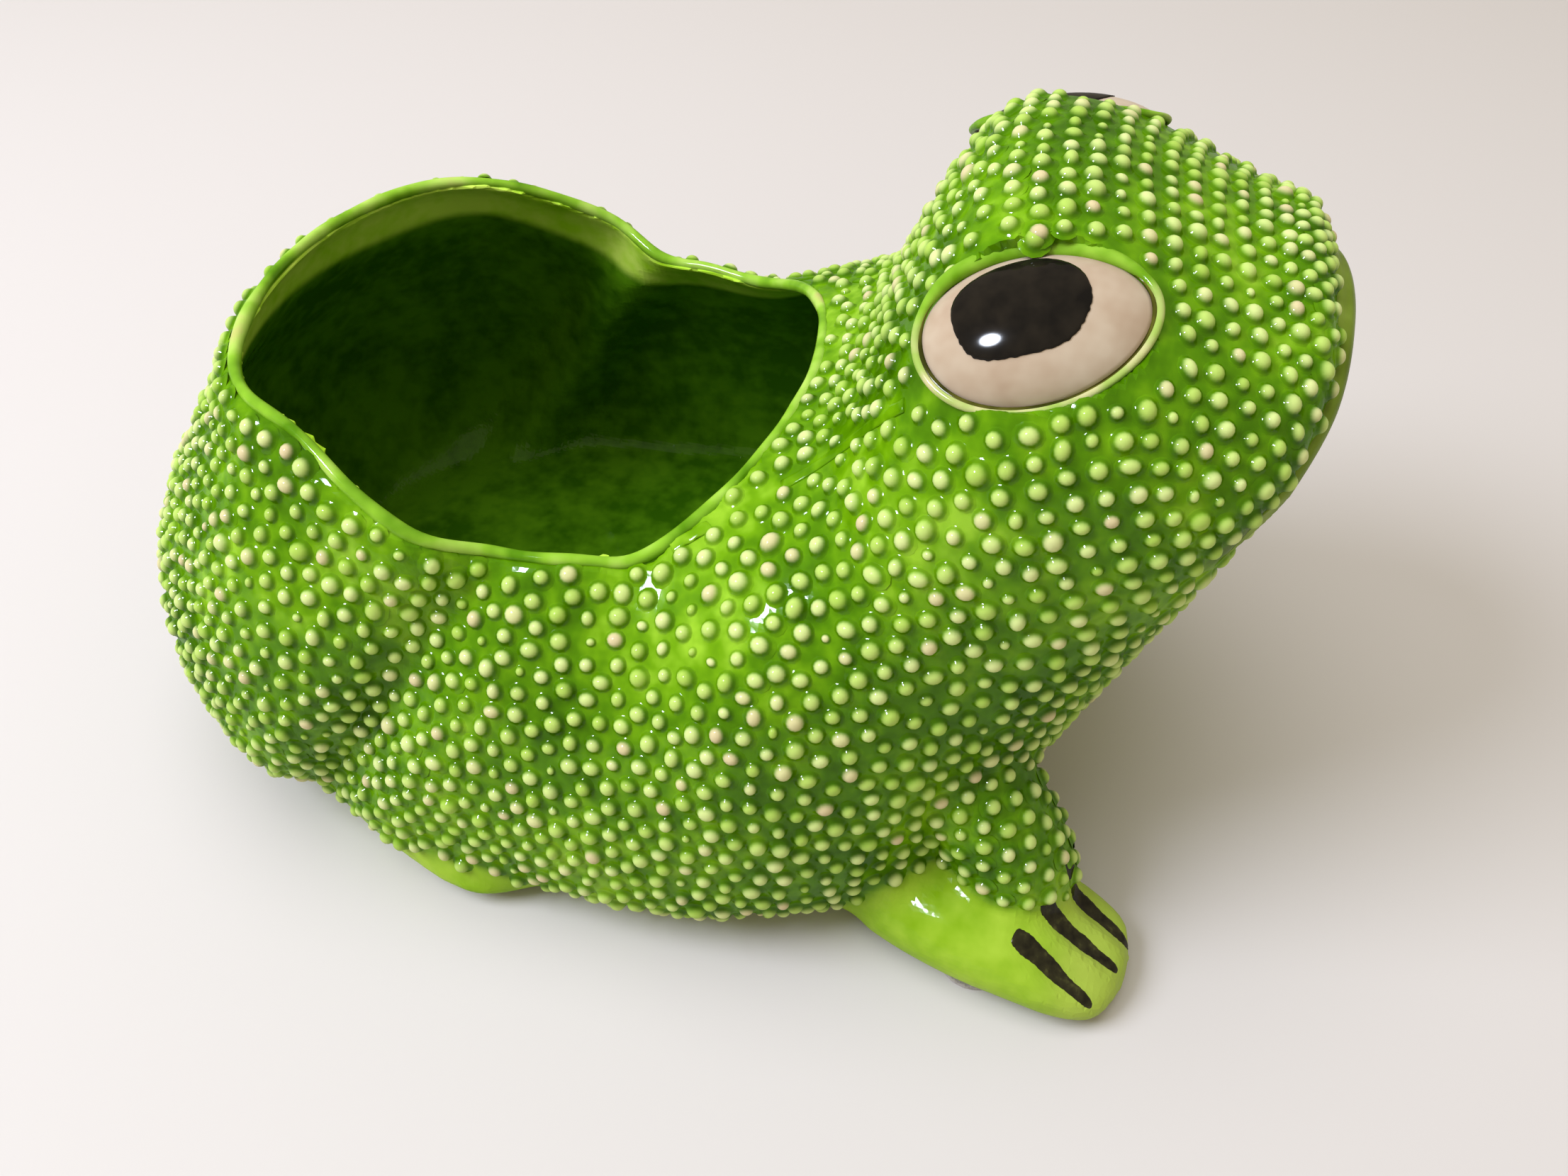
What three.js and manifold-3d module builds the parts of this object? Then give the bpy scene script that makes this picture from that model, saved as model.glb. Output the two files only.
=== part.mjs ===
// Glazed earthenware frog planter: a squatting frog whose open back is the pot.
// Millimetres, +Z up, the frog faces -Y, and the origin is on the surface it stands on, under its middle.
// The frog's left is at +x. Pairs are modelled on the left and mirrored.
import * as THREE from "three";
import { mergeVertices } from "three/addons/utils/BufferGeometryUtils.js";
import Module from "manifold-3d";

const wasm = await Module();
wasm.setup();

// ---- Driving dimensions ----
const LENGTH = 256; // lips to tail, without the bead texture
const WIDTH = 174; // across the haunches
const HEIGHT = 160; // pads to the top of the head
const WALL = 3; // fired wall of the pot
const HEAD_WALL = 7; // the wall in the head, where it backs the eyes
const FLOOR = 7; // fired floor under the planting hollow
const GAP = 0.3; // clearance between pieces that are luted, glazed or glued together
const PAD_RADIUS = 8;
const PAD_THICKNESS = 1.2;
const BASE = PAD_THICKNESS + GAP; // the underside of the casting
const ENAMEL = 0.8; // thickness of the painted pupils and claws
const EYE_LENGTH = 40;
const EYE_WIDTH = 28;
const EYE_BULGE = 6; // the eye's rise over the plane of its outline
const EYE_SEAT = 2.5; // the depth of its flat back under that plane
const PUPIL_LENGTH = 23;
const PUPIL_WIDTH = 18;
const CREASE_DEPTH = 7.5; // the fold between the rump and the haunch
const CREASE_WIDTH = 8;
const CUT_REACH = 400; // cutting solids reach past the whole frog

// The points below are drawn for a frog of these sizes, and are stretched to the sizes above.
const DRAWN = { width: 174, length: 256, height: 160 };
const STRETCH = [WIDTH / DRAWN.width, LENGTH / DRAWN.length, HEIGHT / DRAWN.height];

// The casting, from tail to nose. Each section runs from a point on the belly line to one on the back
// line, both [y, z], and half is its half width, at the share level of the way up. crown and keel shape
// its upper and lower arcs: 1 is an ellipse, less is squarer, more is sharper.
const SECTIONS = [
  { belly: [149, 50], back: [149, 50], half: 0, level: 0.5, crown: 1, keel: 1 },
  { belly: [147, 29], back: [146, 69], half: 33, level: 0.48, crown: 1, keel: 1 },
  { belly: [138, 8], back: [136, 85], half: 54, level: 0.42, crown: 1.05, keel: 0.88 },
  { belly: [121, -3], back: [120, 105], half: 69, level: 0.36, crown: 1.02, keel: 0.76 },
  { belly: [100, -6], back: [100, 121], half: 79, level: 0.32, crown: 0.94, keel: 0.7 },
  { belly: [78, -8], back: [76, 127], half: 83, level: 0.3, crown: 1, keel: 0.66 },
  { belly: [52, -8], back: [46, 124], half: 85, level: 0.3, crown: 1.1, keel: 0.64 },
  { belly: [22, -8], back: [16, 106], half: 87, level: 0.3, crown: 0.98, keel: 0.64 },
  { belly: [-12, -8], back: [-8, 104], half: 85, level: 0.36, crown: 0.7, keel: 0.66 },
  { belly: [-44, -4], back: [-20, 115], half: 77, level: 0.44, crown: 0.78, keel: 0.75 },
  { belly: [-68, 20], back: [-30, 140], half: 66, level: 0.52, crown: 0.85, keel: 0.85 },
  { belly: [-83, 52], back: [-42, 157], half: 62, level: 0.52, crown: 0.86, keel: 0.9 },
  { belly: [-94, 82], back: [-58, 159], half: 58, level: 0.46, crown: 0.88, keel: 0.95 },
  { belly: [-101, 104], back: [-76, 153], half: 51, level: 0.38, crown: 0.98, keel: 1 },
  { belly: [-105, 120], back: [-91, 148], half: 41, level: 0.34, crown: 1.1, keel: 1 },
  { belly: [-107, 132], back: [-100, 147], half: 25, level: 0.4, crown: 1.1, keel: 1 },
  { belly: [-105, 141], back: [-105, 141], half: 0, level: 0.5, crown: 1, keel: 1 },
];

// The crease on each flank runs from the rim down and back to the hind foot, as [y, z].
const CREASE = { from: [46, 92], to: [100, 8] };

// The open rim: its height along the back, [y, z], and how far it reaches on to the neck, [x, y].
const RIM_SIDE = [
  [-60, 80],
  [-8, 84],
  [14, 88],
  [30, 90],
  [46, 90],
  [59, 96],
  [72, 103],
  [86, 110],
  [107, 111],
  [117, 113],
  [160, 118],
];
const RIM_PLAN = [
  [0, -8],
  [21, -5],
  [38, 2],
  [50, 12],
  [58, 24],
  [66, 36],
  [110, 60],
  [110, 170],
];

// The plane where the head is luted to the pot: a point on it, and its direction towards the head.
const NECK = { at: [0, -22, 112], facing: [0, -0.85, 0.53] };

// Each stop of a limb is a centre, the half width across the limb and the half height over it.
const FORELEG = [
  { at: [42, -34, 62], across: 0, over: 0 },
  { at: [46, -39, 58], across: 11, over: 10 },
  { at: [53, -51, 46], across: 14, over: 12 },
  { at: [58, -62, 32], across: 14, over: 12 },
  { at: [61, -70, 21], across: 13, over: 10 },
  { at: [63, -74, 14], across: 10, over: 7 },
  { at: [64, -76, 9], across: 0, over: 0 },
];
const FOREFOOT = [
  { at: [54, -16, 8], across: 0, over: 0 },
  { at: [57, -22, 8], across: 8, over: 6 },
  { at: [64, -42, 9], across: 13, over: 11 },
  { at: [68, -59, 10], across: 16, over: 12 },
  { at: [70, -74, 9], across: 17, over: 11 },
  { at: [72, -84, 7], across: 16, over: 9 },
  { at: [74, -92, 5], across: 12, over: 6 },
  { at: [75, -96, 4], across: 0, over: 0 },
];
const HINDFOOT = [
  { at: [47, 108, 7], across: 0, over: 0 },
  { at: [51, 103, 7], across: 10, over: 5 },
  { at: [60, 88, 7], across: 14, over: 7 },
  { at: [69, 68, 7], across: 15, over: 7 },
  { at: [74, 50, 7], across: 14, over: 7 },
  { at: [76, 38, 6], across: 8, over: 4 },
  { at: [76, 34, 6], across: 0, over: 0 },
];
const LOWER_LIP = [
  { at: [57, -82, 92], across: 0, over: 0 },
  { at: [56, -84.5, 95], across: 1.6, over: 1.4 },
  { at: [50, -90.5, 106], across: 3.2, over: 2.8 },
  { at: [40, -96.5, 118], across: 4.5, over: 4 },
  { at: [26, -102, 128], across: 5.5, over: 4.5 },
  { at: [9, -104, 135], across: 5.5, over: 4.5 },
];

// Grooves part the toes: shares of the foot's half width, and of its length.
const TOE = { grooves: [-0.48, 0.03, 0.58], width: 0.13, depth: 0.2, from: 0.5, fade: 0.2 };
// A claw is an oval of enamel in each groove: how far along the foot its middle is, half its length and
// half its width as shares of the foot, and the height that the enamel stays above.
const CLAW = { along: [0.79, 0.74, 0.68], length: 0.11, width: 0.14, lowest: 4 };

const EYE = { at: [39, -53, 144.5], outward: [0.55, 0.12, 0.82], forward: [0, -0.9, 0.43] };
const PUPIL_AT = [-2, -2]; // from the eye's middle, forward and down

const PADS = [
  { name: "front", at: [74, -62] },
  { name: "rear", at: [44, 84] },
];

// ---- Finishes ----
function glaze(color, roughness = 0.12) {
  return new THREE.MeshStandardMaterial({ color, roughness, metalness: 0 });
}
const GREEN_GLAZE = glaze(0x6fa32c);
const LIME_GLAZE = glaze(0x8cc03a);
const OLIVE_GLAZE = glaze(0x66791f);
const CREAM_GLAZE = glaze(0xe6d8c6);
const BLACK_ENAMEL = glaze(0x14110f, 0.1);
const CLAW_ENAMEL = glaze(0x2a251f, 0.35);
const FELT = glaze(0x8d857a, 0.95);

// ---- Solids ----
const VERTICAL = new THREE.Vector3(0, 0, 1);
const MIRROR = new THREE.Matrix4().makeScale(-1, 1, 1);

function stretched([x, y, z]) {
  return new THREE.Vector3(x * STRETCH[0], y * STRETCH[1], z * STRETCH[2]);
}

function merged(geometry) {
  const bare = geometry.clone();
  bare.deleteAttribute("normal");
  bare.deleteAttribute("uv");
  return mergeVertices(bare, 1e-4);
}

function solidOf(geometry) {
  const { attributes, index } = merged(geometry);
  return new wasm.Manifold(
    new wasm.Mesh({
      numProp: 3,
      vertProperties: attributes.position.array,
      triVerts: new Uint32Array(index.array),
    }),
  );
}

function geometryOf(solid) {
  const mesh = solid.getMesh();
  const geometry = new THREE.BufferGeometry();
  geometry.setAttribute("position", new THREE.BufferAttribute(mesh.vertProperties, 3));
  geometry.setIndex(new THREE.BufferAttribute(mesh.triVerts, 1));
  geometry.computeVertexNormals();
  return geometry;
}

// The solid moved by a matrix, which may mirror it.
function moved(solid, matrix) {
  const geometry = geometryOf(solid).applyMatrix4(matrix);
  if (matrix.determinant() < 0) geometry.index.array.reverse();
  return solidOf(geometry);
}

// The geometry with every vertex moved out along its normal, by a size or by a function of the vertex.
function grown(geometry, amount) {
  const result = merged(geometry);
  result.computeVertexNormals();
  const { position, normal } = result.attributes;
  const point = new THREE.Vector3();
  const out = new THREE.Vector3();
  for (let i = 0; i < position.count; i += 1) {
    point.fromBufferAttribute(position, i);
    out.fromBufferAttribute(normal, i);
    const step = typeof amount === "function" ? amount(point) : amount;
    point.addScaledVector(out, step);
    position.setXYZ(i, point.x, point.y, point.z);
  }
  return result;
}

// A sphere whose grid is laid on place(side, up, along, point): side and up go once round each section,
// and along goes from 0 at one end to 1 at the other.
function wrappedSphere(place, around, rings) {
  const sphere = new THREE.SphereGeometry(1, around, rings);
  const { position, uv } = sphere.attributes;
  const point = new THREE.Vector3();
  for (let i = 0; i < position.count; i += 1) {
    const turn = 2 * Math.PI * uv.getX(i);
    const along = 1 - uv.getY(i);
    const open = along > 0 && along < 1 ? 1 : 0;
    place(-Math.cos(turn) * open, Math.sin(turn) * open, along, point);
    position.setXYZ(i, point.x, point.y, point.z);
  }
  return sphere;
}

function splineOf(items, pick) {
  return new THREE.SplineCurve(items.map((item) => new THREE.Vector2(...pick(item))));
}

// ---- The casting's skin ----
const bellyLine = splineOf(SECTIONS, (s) => [s.belly[0] * STRETCH[1], s.belly[1] * STRETCH[2]]);
const backLine = splineOf(SECTIONS, (s) => [s.back[0] * STRETCH[1], s.back[1] * STRETCH[2]]);
const widthLine = splineOf(SECTIONS, (s) => [s.half * STRETCH[0], s.level]);
const arcLine = splineOf(SECTIONS, (s) => [s.crown, s.keel]);

// How deep the flank is creased at a height z and a place y along the frog.
function creaseDepth(y, z) {
  const from = new THREE.Vector2(CREASE.from[0] * STRETCH[1], CREASE.from[1] * STRETCH[2]);
  const to = new THREE.Vector2(CREASE.to[0] * STRETCH[1], CREASE.to[1] * STRETCH[2]);
  const run = to.clone().sub(from);
  const point = new THREE.Vector2(y, z).sub(from);
  const distance = run.cross(point) / run.length();
  return CREASE_DEPTH * Math.exp(-((distance / CREASE_WIDTH) ** 2));
}

function placeOnSkin(side, up, along, point) {
  const belly = bellyLine.getPoint(along);
  const back = backLine.getPoint(along);
  const width = widthLine.getPoint(along);
  const arc = arcLine.getPoint(along);
  const power = up > 0 ? arc.x : arc.y;
  const rise = Math.abs(up) ** power;
  const spread = Math.sign(side) * Math.abs(side) ** power;
  const middle = belly.clone().lerp(back, width.y);
  middle.lerp(up > 0 ? back : belly, rise);
  const half = Math.max(width.x - creaseDepth(middle.x, middle.y), 0);
  point.set(half * spread, middle.x, middle.y);
}

function skinGeometry(around, rings) {
  return wrappedSphere(placeOnSkin, around, rings);
}

function wallAt(point) {
  const share = THREE.MathUtils.smoothstep(-point.y, 5 * STRETCH[1], 35 * STRETCH[1]);
  return -THREE.MathUtils.lerp(WALL, HEAD_WALL, share);
}

// ---- Cutting solids ----
function above(z) {
  const box = new THREE.BoxGeometry(CUT_REACH, CUT_REACH, CUT_REACH);
  return solidOf(box.translate(0, 0, CUT_REACH / 2 + z));
}

function beyondNeck(offset) {
  const box = new THREE.BoxGeometry(CUT_REACH, CUT_REACH, CUT_REACH);
  box.translate(0, 0, CUT_REACH / 2 + offset);
  const facing = new THREE.Vector3(...NECK.facing).normalize();
  box.applyQuaternion(new THREE.Quaternion().setFromUnitVectors(VERTICAL, facing));
  return solidOf(box.translate(...stretched(NECK.at).toArray()));
}

// Everything over the rim's height, within the rim's plan.
function openingCutter() {
  const height = splineOf(RIM_SIDE, ([y, z]) => [y * STRETCH[1], z * STRETCH[2]]);
  const side = new THREE.Shape(height.getPoints(50));
  side.lineTo(height.points.at(-1).x, CUT_REACH);
  side.lineTo(height.points[0].x, CUT_REACH);
  side.closePath();
  const over = new THREE.ExtrudeGeometry(side, { depth: CUT_REACH, bevelEnabled: false });
  // The side view is drawn in y and z, and extruded along x.
  const axes = [new THREE.Vector3(0, 1, 0), VERTICAL, new THREE.Vector3(1, 0, 0)];
  over.applyMatrix4(new THREE.Matrix4().makeBasis(...axes));
  over.translate(-CUT_REACH / 2, 0, 0);

  const left = RIM_PLAN.map(([x, y]) => [x * STRETCH[0], y * STRETCH[1]]);
  const right = left.slice(1).reverse().map(([x, y]) => [-x, y]);
  const plan = new THREE.Shape(splineOf([...right, ...left], (p) => p).getPoints(60));
  plan.closePath();
  const within = new THREE.ExtrudeGeometry(plan, { depth: CUT_REACH, bevelEnabled: false });
  return solidOf(over).intersect(solidOf(within));
}

// ---- Limbs ----
// A rounded limb through its stops, closed at both ends. shrink(side, up, along) lowers its height.
function limbGeometry(stops, around, rings, shrink = () => 1) {
  const centre = new THREE.CatmullRomCurve3(stops.map((s) => stretched(s.at)), false, "catmullrom");
  const radii = splineOf(stops, (s) => [s.across, s.over]);
  const place = (side, up, along, point) => {
    const travel = centre.getTangent(along);
    const across = VERTICAL.clone().cross(travel).normalize();
    const over = travel.clone().cross(across);
    const size = radii.getPoint(along);
    point.copy(centre.getPoint(along));
    point.addScaledVector(across, Math.max(size.x, 0) * side);
    return point.addScaledVector(over, Math.max(size.y, 0) * up * shrink(side, up, along));
  };
  return { geometry: wrappedSphere(place, around, rings), place };
}

function toeShrink(side, up, along) {
  if (up <= 0) return 1;
  const fade = THREE.MathUtils.smoothstep(along, TOE.from, TOE.from + TOE.fade);
  const cut = TOE.grooves.reduce((sum, at) => sum + Math.exp(-(((side - at) / TOE.width) ** 2)), 0);
  return 1 - TOE.depth * fade * cut;
}

// ---- Eyes ----
function eyeFrame() {
  const outward = new THREE.Vector3(...EYE.outward).normalize();
  const along = new THREE.Vector3(...EYE.forward);
  along.addScaledVector(outward, -along.dot(outward)).normalize();
  const over = outward.clone().cross(along);
  return new THREE.Matrix4().makeBasis(along, over, outward).setPosition(stretched(EYE.at));
}

// An ellipsoid sunk so that its section at height 0 is the eye's outline.
function eyeBall(grow) {
  const sunk = EYE_BULGE;
  const depth = 2 * EYE_BULGE;
  const outline = Math.sqrt(1 - (sunk / depth) ** 2);
  const ball = new THREE.SphereGeometry(1, 24, 14).rotateX(Math.PI / 2);
  ball.scale(EYE_LENGTH / 2 / outline + grow, EYE_WIDTH / 2 / outline + grow, depth + grow);
  return solidOf(ball.translate(0, 0, -sunk));
}

function eyeSolid(grow) {
  return eyeBall(grow).intersect(above(-EYE_SEAT - grow));
}

function ovalColumn(length, width) {
  const column = new THREE.CylinderGeometry(0.5, 0.5, CUT_REACH / 4, 24).rotateX(Math.PI / 2);
  column.scale(length, width, 1);
  return column.translate(0, 0, CUT_REACH / 8);
}

// The seat of the eye in the head, clear of the head's skin above the eye.
function socketSolid() {
  return eyeSolid(GAP).add(solidOf(ovalColumn(EYE_LENGTH + 2 * GAP, EYE_WIDTH + 2 * GAP)));
}

function pupilSolid() {
  const column = ovalColumn(PUPIL_LENGTH, PUPIL_WIDTH).translate(...PUPIL_AT, 0);
  return eyeBall(GAP + ENAMEL).subtract(eyeBall(GAP)).intersect(solidOf(column));
}

// ---- Claws and pads ----
// The enamel of one claw, inside an oval drawn on the top of the foot.
function clawSolid(foot, enamel, along, side) {
  const oval = new THREE.EllipseCurve(along, side, CLAW.length, CLAW.width);
  const plan = oval.getPoints(20).slice(1).map(({ x, y }) => {
    const point = foot.place(y, Math.sqrt(1 - y ** 2), x, new THREE.Vector3());
    return new THREE.Vector2(point.x, point.y);
  });
  const column = new THREE.ExtrudeGeometry(new THREE.Shape(plan), { depth: CUT_REACH, bevelEnabled: false });
  return enamel.intersect(solidOf(column.translate(0, 0, CLAW.lowest * STRETCH[2])));
}

function padSolid([x, y]) {
  const disc = new THREE.CylinderGeometry(PAD_RADIUS, PAD_RADIUS, PAD_THICKNESS, 24).rotateX(Math.PI / 2);
  return solidOf(disc.translate(x * STRETCH[0], y * STRETCH[1], PAD_THICKNESS / 2));
}

// ---- Pieces ----
const frog = new THREE.Group();

function addPiece(name, solid, material) {
  const mesh = new THREE.Mesh(geometryOf(solid), material);
  mesh.name = name;
  frog.add(mesh);
  return mesh;
}

function addPair(name, solid, material) {
  addPiece(`${name}_left`, solid, material);
  addPiece(`${name}_right`, moved(solid, MIRROR), material);
}

const skin = solidOf(skinGeometry(44, 36));
const clearOfSkin = solidOf(grown(skinGeometry(44, 36), GAP));

function addCasting() {
  const hollow = solidOf(grown(skinGeometry(32, 26), wallAt)).intersect(above(BASE + FLOOR));
  const shell = skin.intersect(above(BASE)).subtract(hollow).subtract(openingCutter());
  const socket = moved(socketSolid(), eyeFrame());
  const sockets = socket.add(moved(socket, MIRROR));
  addPiece("pot_body", shell.subtract(beyondNeck(-GAP / 2)), GREEN_GLAZE);
  addPiece("head", shell.intersect(beyondNeck(GAP / 2)).subtract(sockets), GREEN_GLAZE);
}

function addLip() {
  const far = LOWER_LIP.toReversed().map(({ at, ...size }) => ({ ...size, at: [-at[0], at[1], at[2]] }));
  const lip = solidOf(limbGeometry([...LOWER_LIP, ...far], 10, 24).geometry);
  addPiece("lower_lip", lip.subtract(clearOfSkin), OLIVE_GLAZE);
}

// A limb and its mirror image, each trimmed clear of its own side of the casting.
function addLimb(name, solid, material) {
  const trimmed = solid.intersect(above(BASE));
  addPiece(`${name}_left`, trimmed.subtract(clearOfSkin), material);
  addPiece(`${name}_right`, moved(trimmed, MIRROR).subtract(clearOfSkin), material);
}

function addLimbs() {
  const foot = limbGeometry(FOREFOOT, 28, 16, toeShrink);
  const clearOfFoot = solidOf(grown(foot.geometry, GAP));
  const enamel = solidOf(grown(foot.geometry, GAP + ENAMEL)).subtract(clearOfFoot);
  addLimb("foreleg", solidOf(limbGeometry(FORELEG, 16, 12).geometry).subtract(clearOfFoot), GREEN_GLAZE);
  addLimb("forefoot", solidOf(foot.geometry), LIME_GLAZE);
  addLimb("hindfoot", solidOf(limbGeometry(HINDFOOT, 16, 12).geometry), LIME_GLAZE);
  CLAW.along.forEach((along, i) => {
    addPair(`claw_enamel_${i + 1}`, clawSolid(foot, enamel, along, TOE.grooves[i]), CLAW_ENAMEL);
  });
}

function addEyes() {
  addPair("eye", moved(eyeSolid(0), eyeFrame()), CREAM_GLAZE);
  addPair("pupil_enamel", moved(pupilSolid(), eyeFrame()), BLACK_ENAMEL);
}

function addPads() {
  PADS.forEach((pad) => addPair(`felt_pad_${pad.name}`, padSolid(pad.at), FELT));
}

addCasting();
addLip();
addLimbs();
addEyes();
addPads();

// The origin is under the middle of the frog's length.
const extent = new THREE.Box3().setFromObject(frog);
frog.position.y = -(extent.min.y + extent.max.y) / 2;

export default frog;
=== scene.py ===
"""A glazed earthenware frog planter. Metres, +Z up; the frog faces -Y and its left is at +X."""

import math

import bpy
import numpy as np
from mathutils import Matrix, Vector
from mathutils.bvhtree import BVHTree
from mathutils.kdtree import KDTree


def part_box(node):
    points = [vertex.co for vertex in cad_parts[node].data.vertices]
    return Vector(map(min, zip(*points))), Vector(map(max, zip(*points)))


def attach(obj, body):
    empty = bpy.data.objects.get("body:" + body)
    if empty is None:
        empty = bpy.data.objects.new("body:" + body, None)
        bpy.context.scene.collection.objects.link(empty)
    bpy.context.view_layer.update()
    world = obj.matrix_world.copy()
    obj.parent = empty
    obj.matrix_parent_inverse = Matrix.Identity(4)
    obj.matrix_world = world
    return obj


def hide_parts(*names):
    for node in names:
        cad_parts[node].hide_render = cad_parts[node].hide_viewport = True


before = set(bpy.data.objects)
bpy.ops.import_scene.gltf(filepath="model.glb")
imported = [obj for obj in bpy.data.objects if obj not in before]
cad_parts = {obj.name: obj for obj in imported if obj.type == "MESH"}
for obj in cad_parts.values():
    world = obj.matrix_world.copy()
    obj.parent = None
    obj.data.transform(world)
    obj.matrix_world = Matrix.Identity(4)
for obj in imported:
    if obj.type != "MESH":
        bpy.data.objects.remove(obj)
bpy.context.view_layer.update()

MM = 0.001
chance = np.random.default_rng(7)

# ---- The form, in millimetres, in the casting's own frame, which SHIFT moves into the CAD's ----
WALL = 3.0
BASE = 1.5  # the underside of the casting, on its felt pads
FLOOR = 8.5  # the top of the pot's floor
RIM_ROUND = 0.9  # the cut is this much lower and wider than the rim line, and the rolled lip covers it
CREASE_DEPTH = 7.5
CREASE_WIDTH = 8.0
BEAD_PITCH = 4.8
BEAD_TRIES = 60000
CLAY_VOXEL = 1.5  # the solid casting, and then the hollowed one, are remeshed at these sizes
SKIN_VOXEL = 1.45
SPONGE_ROUNDS = 70  # smoothing of the clay in the corners by the feet
RIM_STEPS = 260
RIM_RADIUS = 1.35
FLARE = 5.5  # how far the rear of the rim leans out, and from how far down
FLARE_DEPTH = 22.0

# Along the frog from tail to nose: belly [y, z], back [y, z], half width, level of the widest point as a
# share of the way up, and the powers of the upper and lower arcs.
SECTIONS = np.array(
    [
        [149, 50, 149, 50, 0, 0.5, 1, 1],
        [147, 29, 146, 69, 33, 0.48, 1, 1],
        [138, 8, 136, 85, 54, 0.42, 1.05, 0.88],
        [121, -3, 120, 105, 69, 0.36, 1.02, 0.76],
        [100, -6, 100, 121, 79, 0.32, 0.94, 0.7],
        [78, -8, 76, 127, 83, 0.3, 1, 0.66],
        [52, -8, 46, 124, 85, 0.3, 1.1, 0.64],
        [22, -8, 16, 106, 87, 0.3, 0.98, 0.64],
        [-12, -8, -8, 104, 85, 0.36, 0.7, 0.66],
        [-44, -4, -20, 115, 77, 0.44, 0.78, 0.75],
        [-68, 20, -30, 140, 66, 0.52, 0.85, 0.85],
        [-83, 52, -42, 157, 62, 0.52, 0.86, 0.9],
        [-94, 82, -58, 159, 58, 0.46, 0.88, 0.95],
        [-101, 104, -76, 153, 51, 0.38, 0.98, 1],
        [-105, 120, -91, 148, 41, 0.34, 1.1, 1],
        [-107, 132, -100, 147, 25, 0.4, 1.1, 1],
        [-105, 141, -105, 141, 0, 0.5, 1, 1],
    ]
)
# The fold between the rump and the haunch runs from one [y, z] to the other.
CREASE = np.array([[46, 92], [100, 8]])
# The open rim: its height along the back, [y, z], and how far it reaches on to the neck, [x, y].
RIM_SIDE = np.array(
    [
        [-60, 80],
        [-8, 84],
        [14, 88],
        [30, 90],
        [46, 90],
        [59, 96],
        [72, 103],
        [86, 110],
        [107, 111],
        [117, 113],
        [160, 118],
    ]
)
RIM_PLAN = np.array([[0, -8], [21, -5], [38, 2], [50, 12], [58, 24], [66, 36], [110, 60], [110, 170]])

# Each stop of a limb: centre, half width across it, half height over it.
FORELEG = [
    [42, -34, 62, 0, 0],
    [46, -39, 58, 11, 10],
    [53, -51, 46, 14, 12],
    [58, -62, 32, 14, 12],
    [61, -70, 21, 13, 10],
    [63, -74, 14, 10, 7],
    [64, -76, 9, 0, 0],
]
FOREFOOT = [
    [54, -16, 8, 0, 0],
    [57, -22, 8, 8, 6],
    [64, -42, 9, 13, 11],
    [68, -59, 10, 16, 12],
    [70, -74, 9, 17, 11],
    [72, -84, 7, 16, 9],
    [74, -92, 5, 12, 6],
    [75, -96, 4, 0, 0],
]
HINDFOOT = [
    [47, 108, 7, 0, 0],
    [51, 103, 7, 10, 5],
    [60, 88, 7, 14, 7],
    [69, 68, 7, 15, 7],
    [74, 50, 7, 14, 7],
    [76, 38, 6, 8, 4],
    [76, 34, 6, 0, 0],
]
LOWER_LIP = [
    [57, -82, 92, 0, 0],
    [56, -84.5, 95, 1.6, 1.4],
    [50, -90.5, 106, 3.2, 2.8],
    [40, -96.5, 118, 4.5, 4],
    [26, -102, 128, 5.5, 4.5],
    [9, -104, 135, 5.5, 4.5],
]
TOE_GROOVES = (-0.48, 0.03, 0.58)
EYE_AT = (39, -53, 144.5)
EYE_OUT = (0.55, 0.12, 0.82)
EYE_ALONG = (0, -0.9, 0.43)
EYE_HALF = (19.2, 13.6)
EYE_BULGE = 6.0
SEAM = [(43.8, -32.4, 129.4), (35.7, -20.1, 110.9), (39.1, -8.3, 99.3), (50.9, 10.6, 91.7)]


# ---- Curves and lofts ----
def spline(points, t):
    """Catmull-Rom through evenly spaced knots, for t from 0 to 1."""
    points = np.asarray(points, float)
    last = len(points) - 1
    x = np.clip(np.asarray(t, float) * last, 0, last - 1e-9)
    i = x.astype(int)
    w = (x - i)[..., None]
    a, b, c, d = (points[np.clip(i + k, 0, last)] for k in (-1, 0, 1, 2))
    m, n = (c - a) / 2, (d - b) / 2
    return (2 * b - 2 * c + m + n) * w**3 + (3 * c - 3 * b - 2 * m - n) * w**2 + m * w + b


def smoothstep(x, low, high):
    x = np.clip((x - low) / (high - low), 0, 1)
    return x * x * (3 - 2 * x)


def tube_faces(rings, around):
    """Quads between rings of vertices, facing out where the rings turn clockwise about the way they go."""
    i, j = np.meshgrid(np.arange(rings - 1), np.arange(around), indexing="ij")
    k = (j + 1) % around
    quads = np.stack([i * around + j, i * around + k, (i + 1) * around + k, (i + 1) * around + j], -1)
    return quads.reshape(-1, 4).tolist()


def mesh_object(name, points, faces, smooth=True):
    """A new object. Points are in millimetres."""
    mesh = bpy.data.meshes.new(name)
    mesh.from_pydata((np.asarray(points, float) * MM).tolist(), [], faces)
    mesh.polygons.foreach_set("use_smooth", [smooth] * len(mesh.polygons))
    mesh.update()
    made = bpy.data.objects.new(name, mesh)
    bpy.context.scene.collection.objects.link(made)
    return made


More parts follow.
